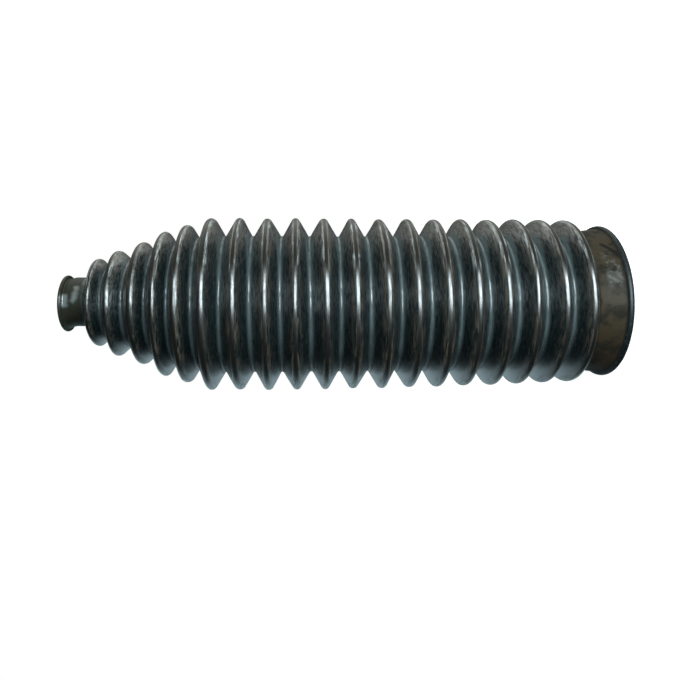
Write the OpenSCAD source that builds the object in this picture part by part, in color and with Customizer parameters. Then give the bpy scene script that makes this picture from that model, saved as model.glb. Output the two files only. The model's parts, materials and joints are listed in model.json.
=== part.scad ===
// Bellows boot for a steering rack: one moulded rubber piece.
// It stands on the rim of its large cuff, with the axis along +Z and the small cuff on top.
// A clip closes on the seat of each cuff, between the end bead and the first fold.
// The wall is one closed section, revolved once about the axis.

/* [Bellows] */
// Outer diameter over the crests of the straight folds
crest_d = 62; // [56:0.2:72]
// Height of a straight fold, from root to crest, measured on the radius
fold_depth = 6.4; // [5:0.1:7]
// Distance from crest to crest along the straight folds
fold_pitch = 10; // [9:0.25:14]
// Number of straight folds
full_folds = 14; // [4:1:20]
// Outer rounding of a straight crest
crest_fillet = 1.5; // [1.3:0.1:2.4]
// Outer rounding of a straight root
root_fillet = 0.7; // [0.5:0.1:1.8]
// Thickness of the folded wall
wall = 1.2; // [0.9:0.1:1.5]

/* [Taper] */
// Number of folds that narrow toward the small cuff
taper_folds = 5; // [3:1:8]
// Distance from crest to crest along the taper
taper_pitch = 8.1; // [7.2:0.1:11]
// Outer diameter over the last and smallest crest
neck_crest_d = 31.4; // [28:0.2:42]
// How far the taper bows out from a straight cone, which is 1
taper_bow = 1.12; // [1:0.02:1.4]
// Height of the smallest fold, measured on the radius
neck_fold_depth = 4.4; // [3.4:0.1:5.4]
// Outer rounding of the smallest crest
neck_crest_fillet = 1.3; // [1.1:0.1:1.8]
// Outer rounding of the smallest root
neck_root_fillet = 0.6; // [0.4:0.1:1.2]

/* [Large cuff] */
// Bore of the large cuff, which fits over the rack housing
large_bore_d = 49; // [42:0.2:52]
// Wall thickness of the large cuff, from its bore to its clip seat
large_cuff_wall = 2.2; // [1.6:0.1:3]
// Length of the large cuff, from its rim to the foot of the first fold
large_cuff_l = 11; // [8:0.25:20]
// Distance from the foot of the first fold to its crest
large_shoulder = 3.6; // [3.2:0.1:5]
// Radius of the half round bead at the large rim
large_bead_r = 1.1; // [0.8:0.1:2]

/* [Small cuff] */
// Bore of the small cuff, which grips the tie rod
small_bore_d = 13; // [9:0.2:15]
// Wall thickness of the small cuff, from its bore to its clip seat
small_cuff_wall = 2.3; // [1.5:0.1:3]
// Length of the small cuff, from its rim to the foot of the last fold
small_cuff_l = 8.2; // [6:0.1:14]
// Distance from the crest of the last fold to its foot
small_shoulder = 4; // [3.8:0.1:6.5]
// Radius of the half round bead at the small rim
small_bead_r = 1.1; // [0.7:0.1:1.7]

/* [Edges] */
// Rounding where a cuff meets its fold
foot_fillet = 0.8; // [0.5:0.1:1.2]
// Rounding where a bead meets its clip seat
bead_fillet = 0.5; // [0.3:0.1:0.8]
// Chamfer at the mouth of each bore
mouth_chamfer = 0.4; // [0.2:0.1:0.6]

/* [Hidden] */

// Facets of the revolve, and the longest step along an arc of the section
revolve_facets = 120;
arc_step = 17;

// The tightest inner rounding that a crest keeps when the wall is thick
least_inner_fillet = 0.3;

// Kinds of arc along the wall: a crest bulges out, a root or foot bends in
CREST = 1;
ROOT = -1;

folds = full_folds + taper_folds;
large_seat_r = large_bore_d / 2 + large_cuff_wall;
small_seat_r = small_bore_d / 2 + small_cuff_wall;
first_crest_z = large_cuff_l + large_shoulder;
taper_start_z = first_crest_z + (full_folds - 1) * fold_pitch;
last_crest_z = taper_start_z + taper_folds * taper_pitch;
small_foot_z = last_crest_z + small_shoulder;
total_l = small_foot_z + small_cuff_l;

// How far a place has gone into the taper: 0 on the straight folds, 1 at the last crest
function taper_share(place) = max(0, place - (full_folds - 1)) / taper_folds;

function blend(from, to, share) = from + (to - from) * share;

// Folds are counted from the large end. A whole place is a crest, and a half place a root.
function place_z(place) = place <= full_folds - 1
    ? first_crest_z + place * fold_pitch
    : taper_start_z + (place - (full_folds - 1)) * taper_pitch;

// The crests follow a power curve, so the taper starts gently and steepens to the neck
function crest_line_r(place) = blend(crest_d, neck_crest_d, pow(taper_share(place), taper_bow)) / 2;

function depth_at(place) = blend(fold_depth, neck_fold_depth, taper_share(place));

// An arc of the outer wall is [z, outermost or innermost radius, rounding, kind]
function crest_arc(i) = [
    place_z(i),
    crest_line_r(i),
    blend(crest_fillet, neck_crest_fillet, taper_share(i)),
    CREST
];

function root_arc(i) = [
    place_z(i + 0.5),
    crest_line_r(i + 0.5) - depth_at(i + 0.5),
    blend(root_fillet, neck_root_fillet, taper_share(i + 0.5)),
    ROOT
];

large_foot = [large_cuff_l, large_seat_r, foot_fillet, ROOT];
small_foot = [small_foot_z, small_seat_r, foot_fillet, ROOT];

// A bead is half round and centred on the seat's radius, with its end flush with the rim
large_bead = [large_bead_r, large_seat_r + large_bead_r, large_bead_r, CREST];
small_bead = [total_l - small_bead_r, small_seat_r + small_bead_r, small_bead_r, CREST];

// The fillet beside a bead touches both it and the seat, which sets its distance from the bead
function bead_reach(bead_r) = sqrt(pow(bead_r + bead_fillet, 2) - pow(bead_fillet, 2));

large_corner = [large_bead_r + bead_reach(large_bead_r), large_seat_r, bead_fillet, ROOT];
small_corner = [
    total_l - small_bead_r - bead_reach(small_bead_r),
    small_seat_r,
    bead_fillet,
    ROOT
];

fold_arcs = [
    for (i = [0 : folds - 1])
        for (arc = i < folds - 1 ? [crest_arc(i), root_arc(i)] : [crest_arc(i)])
            arc
];

outer_arcs = concat(
    [large_bead, large_corner, large_foot],
    fold_arcs,
    [small_foot, small_corner, small_bead]
);

// The inner face of an arc lies one wall further in, round the same centre
function inner_arc(arc, thickness) = [
    arc[0],
    arc[1] - thickness,
    arc[3] == CREST ? max(arc[2] - thickness, least_inner_fillet) : arc[2] + thickness,
    arc[3]
];

inner_arcs = concat(
    [inner_arc(large_foot, large_cuff_wall)],
    [for (arc = fold_arcs) inner_arc(arc, wall)],
    [inner_arc(small_foot, small_cuff_wall)]
);

// Centre of an arc in the section, as [z, radius]
function centre(arc) = [arc[0], arc[1] - arc[3] * arc[2]];

// Direction of the normal of the straight flank that touches two arcs in a row.
// The centres lie the signed radii away from the flank, so the cosine of the angle between
// the normal and the line of centres is the difference of those radii over the distance.
function flank_normal(a, b) =
    let (
        run = centre(b) - centre(a),
        lean = atan2(run[1], run[0]),
        spread = acos(min(1, max(-1, (a[3] * a[2] - b[3] * b[2]) / norm(run))))
    )
    lean + spread;

// Points round a centre from one angle to another, as [z, radius]
function arc_points(mid, radius, from, to) =
    let (steps = ceil(abs(to - from) / arc_step))
    [
        for (i = [0 : steps])
            let (a = blend(from, to, i / steps))
            mid + radius * [cos(a), sin(a)]
    ];

// The line of one face of the wall: every arc from its incoming to its outgoing flank,
// with the direction of the normal given where the line starts and ends
function wall_line(arcs, first_normal, last_normal) = [
    for (i = [0 : len(arcs) - 1])
        let (
            start = i == 0 ? first_normal : flank_normal(arcs[i - 1], arcs[i]),
            end = i == len(arcs) - 1 ? last_normal : flank_normal(arcs[i], arcs[i + 1])
        )
        each arc_points(centre(arcs[i]), arcs[i][3] * arcs[i][2], start, end)
];

// Chamfered mouth of a bore, from the bore to the flat of the rim
function mouth_line(rim_z, bore_r, inward) = [
    [rim_z + inward * mouth_chamfer, bore_r],
    [rim_z, bore_r + mouth_chamfer]
];

function reversed(line) = [for (i = [len(line) - 1 : -1 : 0]) line[i]];

// The closed section of the wall: up the outside, from rim to rim, and back down the bores
wall_section = concat(
    mouth_line(0, large_bore_d / 2, 1),
    wall_line(outer_arcs, 180, 0),
    reversed(mouth_line(total_l, small_bore_d / 2, -1)),
    reversed(wall_line(inner_arcs, 90, 90))
);

module boot() {
    color("#23292c")
        rotate_extrude($fn = revolve_facets)
            polygon([for (p = wall_section) [p[1], p[0]]]);
}

boot();
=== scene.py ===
# %% [markdown]
# This scene dresses a steering rack boot: a black rubber bellows, open at both ends, that
# keeps dirt off the joint between a steering rack and its tie rod. The imported model gives
# the frame that every piece is built in. It is loaded first, and its box is kept.

import json
import math
from types import SimpleNamespace

import bpy
import numpy as np
from mathutils import Matrix, Vector


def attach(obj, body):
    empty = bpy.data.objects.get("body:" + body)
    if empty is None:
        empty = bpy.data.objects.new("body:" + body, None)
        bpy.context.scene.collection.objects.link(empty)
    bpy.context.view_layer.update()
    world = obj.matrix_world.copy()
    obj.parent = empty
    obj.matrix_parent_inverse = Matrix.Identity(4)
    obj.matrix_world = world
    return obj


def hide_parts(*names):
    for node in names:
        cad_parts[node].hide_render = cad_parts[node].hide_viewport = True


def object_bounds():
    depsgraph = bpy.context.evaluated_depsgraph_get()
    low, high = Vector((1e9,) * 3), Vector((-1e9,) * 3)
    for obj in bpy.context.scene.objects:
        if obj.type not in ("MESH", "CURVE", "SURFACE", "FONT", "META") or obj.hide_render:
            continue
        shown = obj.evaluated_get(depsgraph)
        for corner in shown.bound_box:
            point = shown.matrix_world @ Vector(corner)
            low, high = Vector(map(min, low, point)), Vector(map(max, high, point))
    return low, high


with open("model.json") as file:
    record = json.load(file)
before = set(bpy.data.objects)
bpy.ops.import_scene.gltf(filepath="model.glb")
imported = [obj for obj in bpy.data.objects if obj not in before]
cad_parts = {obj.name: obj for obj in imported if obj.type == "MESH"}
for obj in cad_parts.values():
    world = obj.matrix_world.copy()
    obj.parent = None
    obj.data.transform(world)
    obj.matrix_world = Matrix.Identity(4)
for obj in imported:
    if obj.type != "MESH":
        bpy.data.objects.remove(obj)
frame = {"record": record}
cad_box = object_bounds()
MM = 0.001

print("CAD box in mm:", [[round(c / MM, 2) for c in corner] for corner in cad_box])

# %% [markdown]
# The frame's record also says where the boot grips its two mates. Reading the two bores and
# the two clip seats from it ties the skin below to the same sizes as the solid, so nothing
# has to be fitted by eye.

# %% Read the sizes that the frame gives
mounts = {mount["name"]: mount for mount in frame["record"]["mounts"]}


def mount_radius(name):
    """Radius of one of the boot's interfaces, in millimetres."""
    return mounts[name]["dims"]["r_mm"]


LARGE_BORE_R = mount_radius("large_bore")
SMALL_BORE_R = mount_radius("small_bore")
LARGE_SEAT_R = mount_radius("large_clip_seat")
SMALL_SEAT_R = mount_radius("small_clip_seat")
TOTAL_L = cad_box[1].z / MM
CREST_R = cad_box[1].x / MM

print(f"bores {LARGE_BORE_R} and {SMALL_BORE_R} mm, length {TOTAL_L:.1f}, crests {CREST_R:.1f}")

# %% [markdown]
# The camera comes before the pieces. It stands close to the boot, level with its middle and
# turned on its side, so the boot lies across the picture with the small cuff on the left.
# Three small turns follow: the view swings a little along the boot, nods and leans. The
# shift slides the picture up and down without tilting the view.

# %% Set up the camera
IMAGE_W = 680
FOCAL_PX = 643.53
SENSOR_W = 36.0
PICTURE_RISE_PX = 35
VIEW_DISTANCE = 237.97 * MM
VIEW_HEIGHT = 111.25 * MM
SWING, NOD, LEAN = 0.0551, 0.0060, 0.0074


def make_camera():
    """Take three turns, in radians, in the picture's own axes, then turn those into the frame's."""
    data = bpy.data.cameras.new("camera")
    data.sensor_width = SENSOR_W
    data.lens = FOCAL_PX * SENSOR_W / IMAGE_W
    data.shift_y = -PICTURE_RISE_PX / IMAGE_W
    turns = Matrix.Rotation(LEAN, 3, "Z") @ Matrix.Rotation(NOD, 3, "X")
    turns = turns @ Matrix.Rotation(SWING, 3, "Y")
    # Picture right is down the boot's axis, picture up is +X, and the view looks along +Y
    picture_to_frame = Matrix(((0, 1, 0), (0, 0, -1), (-1, 0, 0)))
    camera = bpy.data.objects.new("camera", data)
    camera.matrix_world = (picture_to_frame @ turns.transposed()).to_4x4()
    camera.location = (0, -VIEW_DISTANCE, VIEW_HEIGHT)
    bpy.context.scene.collection.objects.link(camera)
    bpy.context.scene.camera = camera
    return camera


camera = make_camera()
print(f"lens {camera.data.lens:.2f} mm, shift {camera.data.shift_y:.4f}")

# %% [markdown]
# The boot's whole form is in its section: the line that a knife would leave if it cut the
# boot along its axis. Each crest and each root of a fold is an arc, and the flank between
# two arcs is a straight line that touches both. So the section needs only one row of
# numbers for each arc: where it lies, how far out it reaches, how round it is, and whether
# it bulges out or bends in. These are the sizes of the solid, in millimetres. Drawing the
# folds by hand on a surface would take far more points and would never be as even.

# %% Sizes of the folds and cuffs
FULL_FOLDS, TAPER_FOLDS = 14, 5
FOLDS = FULL_FOLDS + TAPER_FOLDS
FIRST_CREST_Z = 14.6
PITCH, TAPER_PITCH = 10.0, 8.1
NECK_CREST_R, TAPER_BOW = 15.7, 1.12
DEPTH, NECK_DEPTH = 6.4, 4.4
CREST_ROUND, NECK_CREST_ROUND = 1.5, 1.3
ROOT_ROUND, NECK_ROOT_ROUND = 0.7, 0.6
WALL, LEAST_ROUND = 1.2, 0.3
LARGE_CUFF_L, SMALL_CUFF_L = 11.0, 8.2
FOOT_ROUND, MOUTH_ROUND = 0.8, 0.4
CREST, ROOT = 1.0, -1.0


def blend(start, end, share):
    """start + (end - start) x share, for numbers or whole arrays."""
    return start + (end - start) * share


def fold_arcs():
    """Rows of z, reach, rounding and kind, from the first crest to the last.

    Places count folds from the large end: a whole place is a crest and a half place a root.
    Along the taper the crests follow a power curve, reach = straight + drop x share ^ bow.
    """
    place = np.arange(2 * FOLDS - 1) / 2
    past = np.maximum(place - (FULL_FOLDS - 1), 0)
    share = past / TAPER_FOLDS
    kind = np.where(place % 1 == 0, CREST, ROOT)
    z = FIRST_CREST_Z + (place - past) * PITCH + past * TAPER_PITCH
    line = blend(CREST_R, NECK_CREST_R, share**TAPER_BOW)
    reach = np.where(kind == CREST, line, line - blend(DEPTH, NECK_DEPTH, share))
    crest_round = blend(CREST_ROUND, NECK_CREST_ROUND, share)
    root_round = blend(ROOT_ROUND, NECK_ROOT_ROUND, share)
    return np.stack([z, reach, np.where(kind == CREST, crest_round, root_round), kind], axis=1)


folds = fold_arcs()
print(f"{len(folds)} arcs of folds, from z {folds[0, 0]:.1f} to {folds[-1, 0]:.1f} mm")

# %% [markdown]
# A flank touches the arcs on both its sides. The centre of each arc lies one radius away
# from it, so the angle between the flank's normal and the line of centres has a cosine of
# (difference of the signed radii) / (distance of the centres). Done for whole arrays, that
# one formula places every flank of the boot.

# %% Turn rows of arcs into a smooth line


def touching_line(arcs, first_normal, last_normal, arc_points, flank_points):
    """Points of z and radius along arcs that are joined by straight flanks.

    Each arc is swept from the normal of the flank before it to that of the flank after it:
    point = centre + signed radius x (cos a, sin a). Points between two arcs are spaced
    evenly along the flank.
    """
    z, reach, rounding, kind = arcs.T
    signed = rounding * kind
    centre = np.stack([z, reach - signed], axis=1)
    run = np.diff(centre, axis=0)
    distance = np.hypot(run[:, 0], run[:, 1])
    lean = np.arctan2(run[:, 1], run[:, 0])
    normal = lean + np.arccos(np.clip(-np.diff(signed) / distance, -1, 1))
    start = np.concatenate([[first_normal], normal])
    end = np.concatenate([normal, [last_normal]])
    share = np.linspace(0, 1, arc_points)
    angle = blend(start[:, None], end[:, None], share[None, :])
    turn = np.stack([np.cos(angle), np.sin(angle)], axis=2)
    swept = centre[:, None, :] + signed[:, None, None] * turn
    leave, arrive = swept[:, -1], np.roll(swept[:, 0], -1, axis=0)
    step = (np.arange(1, flank_points + 1) / (flank_points + 1))[None, :, None]
    flank = blend(leave[:, None, :], arrive[:, None, :], step)
    points = np.concatenate([swept, flank], axis=1).reshape(-1, 2)
    return points[:-flank_points]


print("touching_line is ready")

# %% [markdown]
# The outside is one list of arcs from rim to rim: the bead, the fillet beside it, the foot
# of the first fold, all the folds, and the same again at the small cuff. The large rim has
# a half round bead, which keeps a clip from slipping off. At the small cuff the real lip
# is a thinner, flatter flange, so there a smaller arc stands further out.

# %% The outside
BEAD_R, BEAD_FILLET = 1.1, 0.5
SMALL_LIP_REACH, SMALL_LIP_ROUND = 1.35, 0.6

# The fillet beside the bead touches both it and the seat, which sets how far in it lies
corner_in = BEAD_R + math.sqrt((BEAD_R + BEAD_FILLET) ** 2 - BEAD_FILLET**2)
lip_corner_in = 2 * SMALL_LIP_ROUND + BEAD_FILLET
small_foot_z = TOTAL_L - SMALL_CUFF_L

large_foot = [[LARGE_CUFF_L, LARGE_SEAT_R, FOOT_ROUND, ROOT]]
small_foot = [[small_foot_z, SMALL_SEAT_R, FOOT_ROUND, ROOT]]
outer_arcs = np.concatenate([
    [[BEAD_R, LARGE_SEAT_R + BEAD_R, BEAD_R, CREST]],
    [[corner_in, LARGE_SEAT_R, BEAD_FILLET, ROOT]],
    large_foot,
    folds,
    small_foot,
    [[TOTAL_L - lip_corner_in, SMALL_SEAT_R, BEAD_FILLET, ROOT]],
    [[TOTAL_L - SMALL_LIP_ROUND, SMALL_SEAT_R + SMALL_LIP_REACH, SMALL_LIP_ROUND, CREST]],
])
outer = touching_line(outer_arcs, math.pi, 0.0, arc_points=10, flank_points=2)
print(f"the outside has {len(outer)} points")

# %% [markdown]
# The inner face runs one wall further in, round the same centres: a crest's inner arc is
# tighter by the wall and a root's is wider by it. The cuffs are thicker than the folds, so
# there the inner face is the bore. Each mouth is rounded over with a quarter arc, because a
# moulded rubber edge is never sharp.

# %% The inner face and the closed section
MOUTH_POINTS = 4


def inside_of(arcs, thickness):
    """The same arcs one thickness further in: reach - thickness, and rounding -/+ thickness."""
    z, reach, rounding, kind = np.asarray(arcs).T
    tighter = np.maximum(rounding - thickness, LEAST_ROUND)
    inner_round = np.where(kind == CREST, tighter, rounding + thickness)
    return np.stack([z, reach - thickness, inner_round, kind], axis=1)


def mouth(rim_z, bore_r, inward):
    """Quarter arc from the bore to the rim: centre + rounding x (cos a, sin a)."""
    last_angle = math.pi if inward > 0 else 2 * math.pi
    angle = np.linspace(1.5 * math.pi, last_angle, MOUTH_POINTS)
    centre = np.array([rim_z + inward * MOUTH_ROUND, bore_r + MOUTH_ROUND])
    return centre + MOUTH_ROUND * np.stack([np.cos(angle), np.sin(angle)], axis=1)


inner_arcs = np.concatenate([
    inside_of(large_foot, LARGE_SEAT_R - LARGE_BORE_R),
    inside_of(folds, WALL),
    inside_of(small_foot, SMALL_SEAT_R - SMALL_BORE_R),
])
inner = touching_line(inner_arcs, math.pi / 2, math.pi / 2, arc_points=4, flank_points=1)

section = np.concatenate([
    mouth(0, LARGE_BORE_R, 1),
    outer,
    mouth(TOTAL_L, SMALL_BORE_R, -1)[::-1],
    inner[::-1],
])
print(f"the closed section has {len(section)} points")

# %% [markdown]
# Patterns such as scuffs follow the folds, so the skin carries values of its own: how far
# along the wall a point lies, whether it is on a crest or down in a root, and whether it is
# on the outer face. All come straight from the section.

# %% Values that the finish will read
is_outside = np.zeros(len(section))
is_outside[MOUTH_POINTS:MOUTH_POINTS + len(outer)] = 1

# The first point has no step before it
steps = np.hypot(*(section - np.roll(section, 1, axis=0)).T)
steps[0] = 0
along = np.cumsum(steps)


def crest_share(points):
    """0 in the roots and 1 on the crests: (radius - root line) / (crest line - root line)."""
    z, reach, _, kind = folds.T
    crest_line = np.interp(points[:, 0], z[kind == CREST], reach[kind == CREST])
    root_line = np.interp(points[:, 0], z[kind == ROOT], reach[kind == ROOT])
    return np.clip((points[:, 1] - root_line) / (crest_line - root_line), 0, 1)


crest = crest_share(section)
place = np.interp(section[:, 0], folds[folds[:, 3] == CREST, 0], np.arange(FOLDS))
print(f"the wall is {along[-1]:.0f} mm round the section")

# %% [markdown]
# A boot that has been folded, stored and shipped keeps a set. The middle folds of this one
# have crept toward the large cuff, it narrows slightly toward that cuff, and each fold of
# the taper sits a little off its regular place. These moves depend only on which fold it
# is, so each is a function of the fold's place, in millimetres.

# %% The set of each fold
CREEP, UNEVEN_CREEP = 1.0, 3.2
SWELL, NARROWING, SHRINK = 0.45, 0.5, 0.32
TAPER_SHIFTS = (0.0, 0.5, 0.4, 0.1, 1.1, -0.1)
TAPER_SWELLS = (0.18, 0.1, 0.7, -0.3, -0.1, 0.0)
taper_places = FULL_FOLDS - 1 + np.arange(TAPER_FOLDS + 1)


def along_straight(place):
    """How far a place lies from the first fold to the last straight one, held to 0..1."""
    return np.clip(place / (FULL_FOLDS - 1), 0, 1)


def creep(place):
    """Move along the axis: -c x 4s(1 - s) - u x s(1 - s)(1 - 2s), and a shift per taper fold."""
    s = along_straight(place)
    straight = -CREEP * 4 * s * (1 - s) - UNEVEN_CREEP * s * (1 - s) * (1 - 2 * s)
    return straight + np.interp(place, taper_places, TAPER_SHIFTS)


def swell(place):
    """Move outwards: a hump and a slope over the straight folds, and a swell per taper fold."""
    s = along_straight(place)
    straight = SWELL * 4 * s * (1 - s) + NARROWING * (2 * s - 1) - SHRINK
    return np.where(place > FULL_FOLDS - 1, np.interp(place, taper_places, TAPER_SWELLS), straight)


print(f"the folds creep by up to {np.abs(creep(place)).max():.1f} mm")

# %% [markdown]
# The boot also hangs through in its middle by a millimetre, and since its rings stay square
# to the bent axis, they tilt a little too. The large rim is slightly oval, the two cuffs
# sit a little off the axis, and the small lip hangs lower than its cuff. A simulation of
# soft rubber could find such a sag, but for one millimetre a smooth formula looks the same,
# is quicker, and gives the same result on every run.

# %% The set of the axis and the rims
SAG, SAG_START, SAG_END = 1.0, -6.75, 185.25
RING_LEAN, FLAT_RIM_L = 0.0071, 8.0
LARGE_CUFF_DROP = 0.25
SMALL_CUFF_RISE, SMALL_RISE_L = 0.3, 8.0
LIP_DROP, LIP_DROP_START, LIP_DROP_END = 0.65, TOTAL_L - 3, TOTAL_L - 1.5
RIM_SPREAD, RIM_SPREAD_L, RIM_TURN = 0.7, 12.0, math.radians(35)


def fade(value, low, high):
    """A smooth step from 0 at low to 1 at high: t x t x (3 - 2t)."""
    t = np.clip((value - low) / (high - low), 0, 1)
    return t * t * (3 - 2 * t)


def spread(z, phi):
    """The large rim is a little oval: spread x cos(2 (phi - turn)), fading out up the cuff."""
    return RIM_SPREAD * np.cos(2 * (phi - RIM_TURN)) * (1 - fade(z, 0, RIM_SPREAD_L))


def sag(z):
    """Sideways place of the axis, -sag x 4s(1 - s) and the cuffs' own shifts, and the rings' tilt."""
    s = (z - SAG_START) / (SAG_END - SAG_START)
    side = -SAG * 4 * s * (1 - s)
    side = side - LARGE_CUFF_DROP * (1 - fade(z, LARGE_CUFF_L, 2 * LARGE_CUFF_L))
    side = side + SMALL_CUFF_RISE * fade(z, small_foot_z - SMALL_RISE_L, small_foot_z)
    side = side - LIP_DROP * fade(z, LIP_DROP_START, LIP_DROP_END)
    tilt = SAG * 4 * (1 - 2 * s) / (SAG_END - SAG_START) + RING_LEAN
    return side, tilt * fade(z, 0, FLAT_RIM_L)


print(f"the axis hangs {-sag(TOTAL_L / 2)[0]:.2f} mm low in the middle")

# %% [markdown]
# Rubber is never quite regular round the axis either. A few slow waves move each fold by a
# tenth or two of a millimetre. Their phase turns from fold to fold, so no two folds are
# alike, and this bends the highlights as it does on the real thing. The waves and the folds'
# own moves are held off near both rims, which stay true.

# %% The skin as a grid
AROUND = 132
WAVE_HEIGHTS = (0.07, 0.05, 0.035, 0.02)
PHASE_TURN, TURN_START = 2.399, 1.3
OUT_SEED, ALONG_SEED, ALONG_WAVES = 3, 8, 1.5
HELD_L, RELEASE_L = 2, 8
SMALL_CUFF_CREEP, SMALL_RIM_L = -0.3, 2


def slow_waves(place, phi, seed):
    """Sum over k of height_k x cos((k + 1) x phi + turning phase of the place)."""
    rng = np.random.default_rng(seed)
    total = np.zeros(np.broadcast(place, phi).shape)
    for k, height in enumerate(WAVE_HEIGHTS):
        phase = rng.uniform(0, 2 * math.pi) + PHASE_TURN * (k + TURN_START) * place
        total += height * np.cos((k + 1) * phi + phase)
    return total


def skin_grid():
    """Vertex grid, section x round: (r cos phi, r sin phi, z), with r and z moved by waves."""
    phi = np.linspace(0, 2 * math.pi, AROUND, endpoint=False)[None, :]
    z, radius = section[:, 0, None], section[:, 1, None]
    fold = place[:, None]
    from_ends = np.minimum(z, TOTAL_L - z)
    hold = np.clip((from_ends - HELD_L) / RELEASE_L, 0, 1)
    out = radius + hold * (slow_waves(fold, phi, OUT_SEED) + swell(fold))
    out = out + spread(z, phi)
    up = z + ALONG_WAVES * hold * slow_waves(fold, phi, ALONG_SEED) + hold * creep(fold)
    up = up + SMALL_CUFF_CREEP * fade(z, small_foot_z, TOTAL_L - SMALL_RIM_L)
    side, slope = sag(up)
    x, y = out * np.cos(phi), out * np.sin(phi)
    return np.stack([x + side, y, up + slope * x], axis=2) * MM


grid = skin_grid()
print(f"the grid has {grid.shape[0]} x {grid.shape[1]} points")

# %% [markdown]
# The grid closes on itself both ways, like the surface of a ring: the last row joins the
# first one at the mouth of the large bore. So the skin has no seam and no pole, and it
# encloses the rubber itself. The volume inside shows whether the faces point outwards,
# because it would come out negative if they did not.

# %% The skin as a mesh


def grid_mesh(name, grid):
    """Quads of a grid that closes on itself both ways, with normals that point outwards."""
    rows, columns = grid.shape[:2]
    index = np.arange(rows * columns).reshape(rows, columns)
    ahead, beside = np.roll(index, -1, axis=0), np.roll(index, -1, axis=1)
    corner = np.roll(ahead, -1, axis=1)
    quads = np.stack([index, beside, corner, ahead], axis=2).reshape(-1, 4)
    mesh = bpy.data.meshes.new(name)
    mesh.vertices.add(rows * columns)
    mesh.vertices.foreach_set("co", grid.reshape(-1).astype(np.float32))
    mesh.loops.add(quads.size)
    mesh.loops.foreach_set("vertex_index", quads.reshape(-1).astype(np.int32))
    mesh.polygons.add(len(quads))
    mesh.polygons.foreach_set("loop_start", np.arange(0, quads.size, 4, dtype=np.int32))
    mesh.update(calc_edges=True)
    mesh.shade_smooth()
    return mesh


def enclosed_volume(mesh):
    """Sum over triangles of a . (b x c) / 6, which is positive when the faces point out."""
    mesh.calc_loop_triangles()
    corners = np.zeros(len(mesh.vertices) * 3, np.float32)
    mesh.vertices.foreach_get("co", corners)
    ids = np.zeros(len(mesh.loop_triangles) * 3, np.int32)
    mesh.loop_triangles.foreach_get("vertices", ids)
    a, b, c = corners.reshape(-1, 3).astype(float)[ids.reshape(-1, 3)].transpose(1, 0, 2)
    return float(np.einsum("ij,ij->i", a, np.cross(b, c)).sum() / 6)


skin_mesh = grid_mesh("boot_skin", grid)
volume = enclosed_volume(skin_mesh)
print(f"{len(skin_mesh.loop_triangles)} triangles round {volume / MM**3:.0f} cubic mm")

# %% [markdown]
# The three values go onto the mesh as attributes, one number for each vertex, so the finish
# can read them anywhere on the skin. The boot is one moulded piece, so its one skin stands
# for the solid boot and rides on the only body.

# %% Put the values on the skin and place it


def add_value(mesh, name, per_row):
    """One number for each row of the grid, repeated round it."""
    values = np.repeat(per_row[:, None], AROUND, axis=1).reshape(-1).astype(np.float32)
    mesh.attributes.new(name, "FLOAT", "POINT").data.foreach_set("value", values)


def add_piece(name, mesh):
    """A piece of the boot rides on its only body."""
    piece = bpy.data.objects.new(name, mesh)
    bpy.context.scene.collection.objects.link(piece)
    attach(piece, "root")
    return piece


add_value(skin_mesh, "along", along)
add_value(skin_mesh, "crest", crest)
add_value(skin_mesh, "outside", is_outside)
skin = add_piece("boot_skin", skin_mesh)
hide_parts("boot")
print("the skin stands for the node boot")

# %% [markdown]
# A finish is a network of small nodes. Written out node by node it is hard to read, so this
# class wraps a socket: a sum or product of wrapped sockets adds the Math node by itself.
# The reflected forms, such as __rsub__, let a plain number stand first, as in 1 - mask.

# %% Values that can stand in sums


class Value:
    """A socket that can stand in sums: each operator adds one Math node."""

    def __init__(self, graph, socket):
        self.graph, self.socket = graph, socket

    def maths(self, operation, first, second):
        """One Math node of two values."""
        return self.graph.node("Math", {"operation": operation}, {0: first, 1: second})

    def __add__(self, other):
        return self.maths("ADD", self, other)

    def __radd__(self, other):
        return self.maths("ADD", other, self)

    def __sub__(self, other):
        return self.maths("SUBTRACT", self, other)

    def __rsub__(self, other):
        return self.maths("SUBTRACT", other, self)

    def __neg__(self):
        return self.maths("SUBTRACT", 0.0, self)

    def __mul__(self, other):
        return self.maths("MULTIPLY", self, other)

    def __rmul__(self, other):
        return self.maths("MULTIPLY", other, self)

    def __truediv__(self, other):
        return self.maths("DIVIDE", self, other)

    def __pow__(self, other):
        return self.maths("POWER", self, other)


print("Value is ready")

# %% [markdown]
# A graph is the node tree that the values live in. One method adds any node, and a few
# short ones give plain names to the nodes that are used most: a noise, a mix of two
# colours, and a smooth step, which cuts a mask out of any value.

# %% A graph that adds nodes


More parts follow.
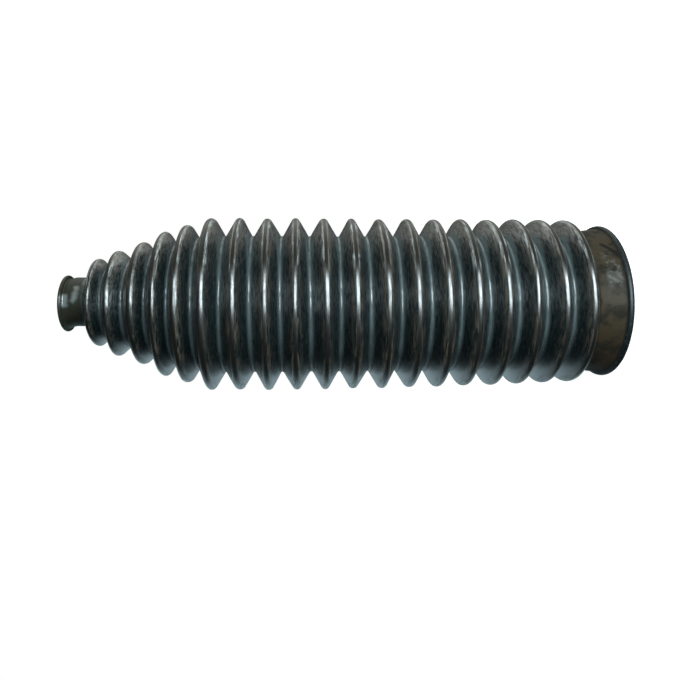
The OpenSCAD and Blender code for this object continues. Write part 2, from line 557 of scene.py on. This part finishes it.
class Graph:
    """The node tree of a material or a world."""

    def __init__(self, owner):
        owner.use_nodes = True
        self.tree = owner.node_tree
        self.tree.nodes.clear()

    def node(self, kind, settings=None, sockets=None, out=0):
        """Add a node, set its settings first and its sockets next, and wrap one output."""
        made = self.tree.nodes.new("ShaderNode" + kind)
        for name, setting in (settings or {}).items():
            setattr(made, name, setting)
        for name, given in (sockets or {}).items():
            if isinstance(given, Value):
                self.tree.links.new(given.socket, made.inputs[name])
            else:
                made.inputs[name].default_value = given
        return Value(self, made.outputs[out]) if len(made.outputs) else made

    def attribute(self, name):
        """A value that the mesh carries at its vertices."""
        return self.node("Attribute", {"attribute_name": name}, out="Fac")

    def split(self, vector):
        """The three parts of a vector."""
        first = self.node("SeparateXYZ", {}, {0: vector})
        return [Value(self, socket) for socket in first.socket.node.outputs]

    def vector(self, x, y, z):
        """Three values as one vector."""
        return self.node("CombineXYZ", {}, {"X": x, "Y": y, "Z": z})

    def mix(self, share, first, second):
        """Blend two colours, each a socket or three numbers."""
        first, second = [c if isinstance(c, Value) else (*c, 1.0) for c in (first, second)]
        return self.node("Mix", {"data_type": "RGBA"}, {0: share, 6: first, 7: second}, out=2)

    def noise(self, vector, scale, detail=2.0, roughness=0.5):
        """Smooth random values round one half, with scale steps for each unit of the vector."""
        sockets = {"Vector": vector, "Scale": scale, "Detail": detail, "Roughness": roughness}
        return self.node("TexNoise", {}, sockets, out="Fac")

    def larger(self, first, second):
        """The larger of two values."""
        return self.node("Math", {"operation": "MAXIMUM"}, {0: first, 1: second})

    def between(self, value, low, high):
        """A smooth step: 0 below low, 1 above high."""
        settings = {"interpolation_type": "SMOOTHSTEP"}
        return self.node("MapRange", settings, {"Value": value, "From Min": low, "From Max": high})

    def window(self, value, rise_start, rise_end, fall_start, fall_end):
        """1 inside a window with soft edges and 0 outside it: rise x (1 - fall)."""
        rise = self.between(value, rise_start, rise_end)
        return rise * (1.0 - self.between(value, fall_start, fall_end))


def no_less_than(least, mask):
    """Lift a mask of 0 to 1: least + (1 - least) x mask."""
    return least + (1 - least) * mask


print("Graph is ready")

# %% [markdown]
# Marks on rubber follow the way it was made and handled: they run round the folds, because
# the mould was turned and because the crests rub along whatever they touch. So most
# patterns here are noise that is stretched round the boot. Its coordinates are the
# direction from the axis, times a few, and the distance along the wall, so that one step of
# noise is long round the boot and short across it. A direction has no seam, which an angle
# would have.

# %% What the finish reads on the skin


class SkinPoint:
    """What the finish knows of a point on the skin.

    The direction from the axis is (up, back) = (x, y) / sqrt(x^2 + y^2). The height z and
    the way along the wall are in mm. The crest value is 0 in a root and 1 on a crest, and
    outside is 1 on the outer face.
    """

    def __init__(self, g):
        self.where = g.node("TexCoord", out="Object")
        x, y, self.z = [part * (1 / MM) for part in g.split(self.where)]
        radius = (x * x + y * y) ** 0.5
        self.up, self.back = x / radius, y / radius
        self.wall = g.attribute("along")
        self.crest = g.attribute("crest")
        self.outside = g.attribute("outside")


def round_noise(g, skin, round_steps, wall_steps, detail):
    """Noise of (direction x round steps, wall x wall steps), so it is stretched round the boot."""
    across = skin.wall * wall_steps
    at = g.vector(skin.up * round_steps, skin.back * round_steps, across)
    return g.noise(at, scale=1.0, detail=detail, roughness=0.6)


print("SkinPoint and round_noise are ready")

# %% [markdown]
# What gets rubbed is the ridge of each fold and the flanks beside it. There the rubber has
# grey streaks. On the boot's upper side pale streaks lie beside each ridge: partly scratches,
# and partly a painted sheen, the light from above on the upper flanks. Along the very top of
# each ridge runs a dark, ragged line, clear of the streaks. Every mark is a product of masks
# from 0 to 1: a pattern of streaks, the patches where it is strong, and the height on the
# fold. A grain says how many steps a noise takes round the boot and along each millimetre
# of the wall, and how fine its detail is. Each pair of numbers says where a value starts to
# show and where it shows in full.

# %% Marks on the ridges
SCUFF_GRAIN, SCUFF_PATCH_GRAIN = (6.0, 1.7, 5.0), (1.6, 0.07, 3.0)
SCUFF_STREAKS, SCUFF_PATCHES = (0.42, 0.62), (0.36, 0.60)
SCUFF_ON_CREST, LEAST_SCUFF = (0.52, 0.90), 0.35
RIDGE_GRAIN, RIDGE_RAGGED = (7.0, 0.8, 4.0), 0.03
RIDGE_ON_CREST, RIDGE_UP = (0.974, 0.990), (-0.98, -0.75)
# The pale streaks show only on the upper side: partly scratches, partly a painted sheen of the light
# from above.
PALE_GRAIN, PALE_PATCH_GRAIN = (5.0, 1.9, 4.0), (2.2, 0.09, 3.0)
PALE_STREAKS, PALE_PATCHES = (0.46, 0.60), (0.42, 0.56)
PALE_ON_CREST, PALE_SHEEN_UP = (0.78, 0.90, 0.975, 0.992), (0.28, 0.48)


def fold_scuffs(g, skin):
    """Rubbed streaks beside the ridge of each crest: streaks x patches x height on the fold."""
    streaks = g.between(round_noise(g, skin, *SCUFF_GRAIN), *SCUFF_STREAKS)
    patches = g.between(round_noise(g, skin, *SCUFF_PATCH_GRAIN), *SCUFF_PATCHES)
    return streaks * no_less_than(LEAST_SCUFF, patches) * g.between(skin.crest, *SCUFF_ON_CREST)


def ridge_line(g, skin):
    """The dark, smoother line along the top of a crest, which fades out underneath."""
    ragged = round_noise(g, skin, *RIDGE_GRAIN) - 0.5
    line = g.between(skin.crest + RIDGE_RAGGED * ragged, *RIDGE_ON_CREST)
    return line * g.between(skin.up, *RIDGE_UP)


def pale_scratches_and_sheen(g, skin):
    """Pale streaks beside the ridge, on the upper side of the boot only: partly scratches, partly
    painted sheen.
    """
    streaks = g.between(round_noise(g, skin, *PALE_GRAIN), *PALE_STREAKS)
    patches = g.between(round_noise(g, skin, *PALE_PATCH_GRAIN), *PALE_PATCHES)
    beside = g.window(skin.crest, *PALE_ON_CREST)
    return streaks * patches * beside * g.between(skin.up, *PALE_SHEEN_UP)


print("marks on the ridges: scuffs, parting lines and pale streaks")

# %% [markdown]
# New rubber sweats out a thin film of wax, which gives it its soft gloss. On this boot the
# wax is wiped off in fine streaks, least of all underneath. The bottom of each root is
# painted a pale bluish grey: partly dust, and partly a painted sheen, the light that the
# roots mirror, which reaches higher up the roots on the boot's upper side. Small specks of
# dust lie all over.

# %% Wax, dust and painted sheen
WIPED_GRAIN, WIPED_STREAKS, WIPED_UP = (7.0, 1.7, 4.0), (0.46, 0.57), (-0.90, -0.55)
KEPT_TOP, KEPT_SHARE = (0.72, 0.92), 0.4
SPECK_SCALE, SPECK_PEAKS = 950.0, (0.56, 0.72)
DUST_AND_SHEEN_GRAIN, DUST_AND_SHEEN_PATCHES, LEAST_DUST_AND_SHEEN = (3.0, 0.5, 3.0), (0.35, 0.65), 0.6
DUST_AND_SHEEN_ON_CREST = (0.02, 0.20)
# The pale root band reaches higher on the upper side: painted sheen of the light from above.
SHEEN_TOP_UP, SHEEN_TOP_RISE = (0.45, 0.85), 0.2


def wiped_wax(g, skin):
    """Fine streaks where the wax has been wiped off, all round but for the underside."""
    streaks = g.between(round_noise(g, skin, *WIPED_GRAIN), *WIPED_STREAKS)
    kept = KEPT_SHARE * g.between(skin.up, *KEPT_TOP)
    return streaks * g.between(skin.up, *WIPED_UP) * (1.0 - kept)


def specks(g, skin):
    """Small specks of dust all over: the peaks of a fine noise."""
    return g.between(g.noise(skin.where, SPECK_SCALE, detail=3.0), *SPECK_PEAKS)


def root_dust_and_sheen(g, skin):
    """Dust and painted sheen in the bottom of each root, thicker in some places and higher up the root
    on the upper side.
    """
    uneven = g.between(round_noise(g, skin, *DUST_AND_SHEEN_GRAIN), *DUST_AND_SHEEN_PATCHES)
    height = skin.crest - SHEEN_TOP_RISE * g.between(skin.up, *SHEEN_TOP_UP)
    return (1.0 - g.between(height, *DUST_AND_SHEEN_ON_CREST)) * no_less_than(LEAST_DUST_AND_SHEEN, uneven)


print("marks between the ridges: wiped wax, specks and dust in the roots")

# %% [markdown]
# The large cuff has lost its black: rubber that has lain in stock for long turns brownish
# and matt where nothing rubs it, in blotches. On its front are a dark streak like a cut and
# a worn grey patch. A dark line of painted shade runs along the concave corner beside the
# bead. Marks that belong to one spot are placed on the unrolled cuff, in mm along the axis
# and round it.

# %% Marks on the large cuff
CUFF_EDGE, BAND_EDGE = (LARGE_CUFF_L + 0.2, LARGE_CUFF_L + 1.4), (2.0, 2.6)
BLOTCH_SCALE, BLOTCH_PEAKS = 160.0, (0.42, 0.62)
WORN_Z, WORN_UP, WORN_FRONT = (2.8, 3.8, 7.6, 9.4), (0.08, 0.26, 0.58, 0.74), (0.3, 0.5)
STROKE_STEPS, WORN_STROKES, LEAST_STROKE = (0.20, 0.60), (0.42, 0.62), 0.35
WORN_SCALE, WORN_PEAKS = 230.0, (0.46, 0.60)
STREAK_START, STREAK_END = (6.8, 22.6), (2.4, 16.8)
STREAK_EDGE, STREAK_FRONT = (0.25, 1.28), (0.1, 0.2)
# The line beside the bead is painted shade in the corner there.
CORNER_SHADE_Z, CORNER_SHADE_SHARE = (1.6, 2.0, 2.2, 2.9), 0.8


def way_round(g, skin, radius):
    """Way round a cuff in mm, from the middle of its front: radius x arc sine of up."""
    return g.node("Math", {"operation": "ARCSINE"}, {0: skin.up}) * radius


def from_stroke(g, z, round_mm, start, end):
    """Distance in mm from a straight stroke on the unrolled cuff, |p - nearest point of it|."""
    run = (end[0] - start[0], end[1] - start[1])
    length_2 = run[0] ** 2 + run[1] ** 2
    share = ((z - start[0]) * run[0] + (round_mm - start[1]) * run[1]) / length_2
    share = g.node("Clamp", {}, {"Value": share})
    off_z = z - (start[0] + share * run[0])
    off_round = round_mm - (start[1] + share * run[1])
    return (off_z * off_z + off_round * off_round) ** 0.5


def cuff_blotches(g, skin):
    """Darker blotches: the upper half of a coarse noise."""
    return g.between(g.noise(skin.where, BLOTCH_SCALE, detail=4.0, roughness=0.65), *BLOTCH_PEAKS)


def worn_patch(g, skin):
    """A worn patch on the front: slanted strokes x the peaks of a noise x a soft window."""
    round_mm = way_round(g, skin, LARGE_SEAT_R)
    with_slant, across_slant = round_mm + skin.z, round_mm - skin.z
    slanted = g.vector(with_slant * STROKE_STEPS[0], across_slant * STROKE_STEPS[1], skin.back)
    strokes = g.between(g.noise(slanted, scale=1.0, detail=4.0, roughness=0.7), *WORN_STROKES)
    zone = g.window(skin.z, *WORN_Z) * g.window(skin.up, *WORN_UP)
    peaks = g.between(g.noise(skin.where, WORN_SCALE, detail=5.0, roughness=0.65), *WORN_PEAKS)
    worn = no_less_than(LEAST_STROKE, strokes) * zone * peaks
    return worn * g.between(-skin.back, *WORN_FRONT)


def streak_and_corner_shade(g, skin):
    """The streak on the front and, weaker, painted shade in the corner beside the bead, whichever is
    stronger.
    """
    round_mm = way_round(g, skin, LARGE_SEAT_R)
    streak = 1.0 - g.between(from_stroke(g, skin.z, round_mm, STREAK_START, STREAK_END), *STREAK_EDGE)
    streak = streak * g.between(-skin.back, *STREAK_FRONT)
    return g.larger(streak, CORNER_SHADE_SHARE * g.window(skin.z, *CORNER_SHADE_Z))


print("marks on the large cuff: blotches, a worn patch and dark lines")

# %% [markdown]
# The small cuff is a dull olive black with two soft smears of wax on its front. The wax
# makes them glossy, and their lighter grey is partly a painted highlight. Each is a short
# stroke: the nearer a point lies to it, the more wax it has, and noise added to the distance
# makes the edge ragged.

# %% Marks on the small cuff
SMALL_CUFF_EDGE = (small_foot_z - 0.5, small_foot_z + 1.0)
SMEARS = (((194.9, -0.6), (194.9, 2.4)), ((191.8, 1.2), (191.2, 5.2)))
SMEAR_EDGE, SMEAR_FRONT = (0.0, 1.7), (0.3, 0.5)
SMEAR_SCALE, SMEAR_RAGGED = 450.0, 2.0


def wax_and_highlight_smears(g, skin):
    """Two soft smears of wax with a painted highlight: 1 - (distance from a short stroke + ragged
    noise), stepped.
    """
    round_mm = way_round(g, skin, SMALL_SEAT_R)
    ragged = SMEAR_RAGGED * (g.noise(skin.where, SMEAR_SCALE, detail=3.0) - 0.5)
    first, second = [
        1.0 - g.between(from_stroke(g, skin.z, round_mm, *stroke) + ragged, *SMEAR_EDGE)
        for stroke in SMEARS
    ]
    return (first + second) * g.between(-skin.back, *SMEAR_FRONT)


print("marks on the small cuff: two smears")

# %% [markdown]
# Each mark belongs to its own part of the boot, so its mask is multiplied by the mask of
# that part: the outer face of the folds for scuffs, dust and painted sheen, and a cuff for
# what only that cuff has. Collected under plain names, the masks can be shared by the colour
# and the gloss.

# %% All the marks together
WIPED_MOST, WIPED_LESS_ON_RIDGE, ABOUT_RIDGE = 0.9, 0.5, (0.94, 0.98)
BARE_MOST, BARE_UP = 0.9, (0.26, 0.44)


def all_marks(g, skin):
    """Every mask of the finish, from 0 to 1, with the marks of the folds kept off the cuffs."""
    cuff = 1.0 - g.between(skin.z, *CUFF_EDGE)
    band = cuff * g.between(skin.z, *BAND_EDGE)
    small_cuff = g.between(skin.z, *SMALL_CUFF_EDGE)
    on_folds = (1.0 - cuff) * (1.0 - small_cuff) * skin.outside
    ridge = ridge_line(g, skin)
    wiped_share = WIPED_MOST - WIPED_LESS_ON_RIDGE * g.between(skin.crest, *ABOUT_RIDGE)
    return SimpleNamespace(
        cuff=cuff,
        band=band,
        small_cuff=small_cuff,
        specks=specks(g, skin),
        rubbed=fold_scuffs(g, skin) * on_folds,
        dust_and_sheen=root_dust_and_sheen(g, skin) * on_folds,
        pale=pale_scratches_and_sheen(g, skin) * on_folds,
        off_ridge=1.0 - ridge,
        dark_ridge=ridge * on_folds,
        bare_ridge=BARE_MOST * ridge * g.between(skin.up, *BARE_UP) * on_folds,
        wiped=wiped_wax(g, skin) * on_folds * wiped_share,
        blotches=cuff_blotches(g, skin),
        worn=worn_patch(g, skin) * band,
        lines=streak_and_corner_shade(g, skin),
        wax_and_highlight=wax_and_highlight_smears(g, skin) * small_cuff,
    )


print("the marks can be collected for any material")

# %% [markdown]
# The colour is laid on like paint: clean black rubber first, and then one layer for each
# mark, whose mask says how much of it covers what lies below. The order matters, since a
# dark streak lies over the brown of the cuff and not under it. Colours are plain numbers
# from 0 to 1 for red, green and blue, and clean rubber is close to black.

# %% The colour of the rubber
RUBBER_BLACK, RIDGE_BLACK = (0.0018, 0.0040, 0.0044), (0.0045, 0.0040, 0.0030)
# The pale grey is partly scratches and partly painted sheen from the light above.
SCUFF_GREY, PALE_SHEEN_GREY = (0.043, 0.035, 0.026), (0.190, 0.200, 0.200)
# The root colour is partly dust and partly a painted sheen, the light that the roots mirror.
ROOT_DUST_AND_SHEEN = (0.032, 0.043, 0.044)
# The cuff's dark also serves as painted shade in the corner beside the bead.
CUFF_BROWN, CUFF_DARK = (0.0155, 0.0102, 0.0042), (0.0026, 0.0019, 0.0009)
WORN_GREY = (0.050, 0.049, 0.043)
# The wax grey is partly a painted highlight on the small cuff's front.
SMALL_CUFF_OLIVE, WAX_AND_HIGHLIGHT_GREY = (0.0120, 0.0126, 0.0074), (0.066, 0.074, 0.070)
SPECK_SHARE, PALE_SHEEN_SHARE = 0.4, 0.8
SMALL_BLOTCH_SHARE, BLOTCH_SHARE = 0.35, 0.8


def rubber_colour(g, marks):
    """Each layer in turn: colour = colour + (paint - colour) x mask."""
    layers = (
        (SPECK_SHARE * marks.specks, SCUFF_GREY),
        (marks.rubbed, SCUFF_GREY),
        # Dust and painted sheen in the roots
        (marks.dust_and_sheen, ROOT_DUST_AND_SHEEN),
        # Pale streaks on the upper side: partly scratches, partly painted sheen
        (PALE_SHEEN_SHARE * marks.pale, PALE_SHEEN_GREY),
        (marks.dark_ridge, RIDGE_BLACK),
        (marks.small_cuff, SMALL_CUFF_OLIVE),
        (marks.small_cuff * marks.blotches * SMALL_BLOTCH_SHARE, CUFF_DARK),
        (marks.band, CUFF_BROWN),
        (marks.band * marks.blotches * BLOTCH_SHARE, CUFF_DARK),
        (marks.worn, WORN_GREY),
        # The dark streak, and painted shade in the corner beside the bead
        (marks.lines * marks.band, CUFF_DARK),
        # Wax smears, painted lighter as a highlight
        (marks.wax_and_highlight, WAX_AND_HIGHLIGHT_GREY),
    )
    colour = RUBBER_BLACK
    for mask, paint in layers:
        colour = g.mix(mask, colour, paint)
    return colour


print("twelve layers lie over the clean rubber")

# %% [markdown]
# The gloss has two parts. The rubber below is fairly rough, and rougher where it is rubbed,
# dusty or aged. The wax on top is a clear coat, which is thinned by every mark that takes
# wax off: rubbing, dust, wiping, a bare ridge and the dull cuffs. A bump from the same
# stretched noise makes the highlights on the crests uneven.

# %% The rubber
CLEAN_ROUGHNESS, DULL_ROUGHER, DUST_ROUGHER, LINES_ROUGHER = 0.35, 0.20, 0.28, 0.4
BAND_ROUGHER, BLOTCH_ROUGHER = 0.12, 0.18
CUFF_DULL, BAND_DULL, SMALL_CUFF_DULL = 0.90, 0.08, 0.93
RUBBED_THINS, DUST_THINS = 0.5, 0.65
FLOW_GRAIN, BUMP_STRENGTH, BUMP_HEIGHT = (6.0, 1.3, 4.0), 0.8, 0.1 * MM
RUBBER_IOR, WAX_IOR, WAX_ROUGHNESS = 1.25, 1.9, 0.31


def rubber_gloss(g, marks):
    """Roughness, as clean roughness + a share for each mark, and wax, as the product of what is left."""
    cuffs_dull = marks.cuff * (CUFF_DULL + BAND_DULL * marks.band)
    cuffs_dull = cuffs_dull + marks.small_cuff * SMALL_CUFF_DULL * (1.0 - marks.wax_and_highlight)
    dull = g.larger(marks.rubbed * marks.off_ridge, cuffs_dull)
    roughness = CLEAN_ROUGHNESS + DULL_ROUGHER * dull + DUST_ROUGHER * marks.dust_and_sheen
    roughness = roughness + LINES_ROUGHER * marks.lines * marks.cuff
    roughness = roughness + marks.band * (BAND_ROUGHER + BLOTCH_ROUGHER * marks.blotches)
    wax = (1.0 - RUBBED_THINS * marks.rubbed) * (1.0 - DUST_THINS * marks.dust_and_sheen)
    wax = wax * (1.0 - marks.wiped) * (1.0 - marks.bare_ridge) * (1.0 - cuffs_dull)
    return roughness, wax


def rubber_finish():
    """The boot's one material: its colour, gloss and bump all come from the same marks."""
    material = bpy.data.materials.new("moulded_rubber")
    g = Graph(material)
    skin = SkinPoint(g)
    marks = all_marks(g, skin)
    roughness, wax = rubber_gloss(g, marks)
    flow = round_noise(g, skin, *FLOW_GRAIN)
    bump = g.node("Bump", {}, {"Height": flow, "Strength": BUMP_STRENGTH, "Distance": BUMP_HEIGHT})
    shader = g.node("BsdfPrincipled", {}, {
        "Base Color": rubber_colour(g, marks), "Roughness": roughness, "Normal": bump,
        "IOR": RUBBER_IOR, "Coat Weight": wax, "Coat Roughness": WAX_ROUGHNESS, "Coat IOR": WAX_IOR,
    })
    g.node("OutputMaterial", {}, {"Surface": shader})
    return material


skin_mesh.materials.append(rubber_finish())
print("the skin has its rubber, from", len(skin_mesh.materials[0].node_tree.nodes), "nodes")

# %% [markdown]
# The boot stands on the rim of its large cuff, on a plain white floor that keeps its shadow.
# The floor is white to the camera only, and clear to all other rays, so that the rubber
# mirrors the room and not the floor.

# %% The floor
FLOOR_HALF = 3.0
FLOOR_GLOW, FLOOR_PAINT = 0.88, 0.8
WHITE = (1.0, 1.0, 1.0, 1.0)


def make_floor():
    """A square of floor, white to the camera and clear to all other rays, that keeps the shadow."""
    h = FLOOR_HALF
    mesh = bpy.data.meshes.new("floor")
    mesh.from_pydata([(-h, -h, 0), (h, -h, 0), (h, h, 0), (-h, h, 0)], [], [(0, 1, 2, 3)])
    floor = bpy.data.objects.new("floor", mesh)
    bpy.context.scene.collection.objects.link(floor)
    material = bpy.data.materials.new("white_floor")
    g = Graph(material)
    seen = g.node("LightPath", out="Is Camera Ray")
    glow = g.node("Emission", {}, {"Color": WHITE, "Strength": FLOOR_GLOW})
    paint = g.node("BsdfDiffuse", {}, {"Color": (FLOOR_PAINT, FLOOR_PAINT, FLOOR_PAINT, 1.0)})
    white = g.node("AddShader", {}, {0: glow, 1: paint})
    shown = g.node("MixShader", {}, {0: seen, 1: g.node("BsdfTransparent"), 2: white})
    g.node("OutputMaterial", {}, {"Surface": shown})
    mesh.materials.append(material)
    return floor


floor = make_floor()
print(f"the floor is {2 * FLOOR_HALF:.0f} m wide")

# %% [markdown]
# Black rubber shows what it reflects more than its own colour, so the room matters for its
# look. It is white to the camera. To the rubber it is dark on the camera's side, bright on
# the side of the picture's top, where it gives the upper flanks their sheen, and weaker
# below and behind the boot, which draws a pale line along the ends of the folds.

# %% The room
ROOM_DARK = (0.012, 0.016, 0.017)
ROOM_TOP, ROOM_BELOW = (1.25, 1.30, 1.20), (0.52, 0.71, 0.78)
TOP_UP, TOP_AWAY, TOP_LEAST, TOP_MORE_BEHIND = (0.15, 0.65), (-0.9, -0.1), 0.25, 0.30
BELOW_DOWN, BELOW_AWAY = (0.0, 0.4), (0.25, 0.75)


def make_room():
    """Light by direction: dark, then the top's share of light, then the light from below behind."""
    world = bpy.data.worlds.new("room")
    bpy.context.scene.world = world
    g = Graph(world)
    up, away, _ = g.split(g.node("TexCoord", out="Generated"))
    top = g.between(up, *TOP_UP) * (TOP_LEAST + TOP_MORE_BEHIND * g.between(away, *TOP_AWAY))
    below = g.between(-up, *BELOW_DOWN) * g.between(away, *BELOW_AWAY)
    light = g.mix(below, g.mix(top, ROOM_DARK, ROOM_TOP), ROOM_BELOW)
    seen = g.node("LightPath", out="Is Camera Ray")
    colour = g.mix(seen, light, WHITE[:3])
    shown = g.node("Background", {}, {"Color": colour, "Strength": 1.0})
    g.node("OutputWorld", {}, {"Surface": shown})
    return world


room = make_room()
print("the room is white to the camera, and lit by", len(room.node_tree.nodes), "nodes")

# %% [markdown]
# Two soft lamps do the rest. The key lamp stands beside the camera, and each crest mirrors
# it as a short bright flame, whose height is set by the lamp's height and whose softness by
# the rubber's roughness. A large, weak lamp on the side of the picture's top brightens the
# upper ends of the folds.

# %% The lamps
KEY_PLACE, KEY_AIM, KEY_SIZE = (61, -238, 50), (0, 0, 90), (156, 270)
KEY_POWER, KEY_COLOUR = 2.05, (0.84, 1.0, 1.06)
ABOVE_PLACE, ABOVE_AIM, ABOVE_SIZE = (260, 110, 140), (0, 110, 140), (300, 420)
ABOVE_POWER, ABOVE_COLOUR = 0.42, (1.0, 1.04, 0.98)


def add_lamp(name, place, aim, size, power, colour):
    """A soft lamp of some size at a place, turned to look at its aim. Lengths are in mm."""
    data = bpy.data.lights.new(name, "AREA")
    data.shape, data.energy, data.color = "RECTANGLE", power, colour
    data.size, data.size_y = size[0] * MM, size[1] * MM
    lamp = bpy.data.objects.new(name, data)
    lamp.location = Vector(place) * MM
    lamp.rotation_euler = (Vector(aim) - Vector(place)).to_track_quat("-Z", "Y").to_euler()
    bpy.context.scene.collection.objects.link(lamp)
    return lamp


key = add_lamp("key", KEY_PLACE, KEY_AIM, KEY_SIZE, KEY_POWER, KEY_COLOUR)
above = add_lamp("above", ABOVE_PLACE, ABOVE_AIM, ABOVE_SIZE, ABOVE_POWER, ABOVE_COLOUR)
print(f"the lamps give {key.data.energy:.2f} and {above.data.energy:.2f} W")

# %% [markdown]
# The plain view transform keeps each colour as it is written.

# %% Finish
bpy.context.scene.view_settings.view_transform = "Standard"
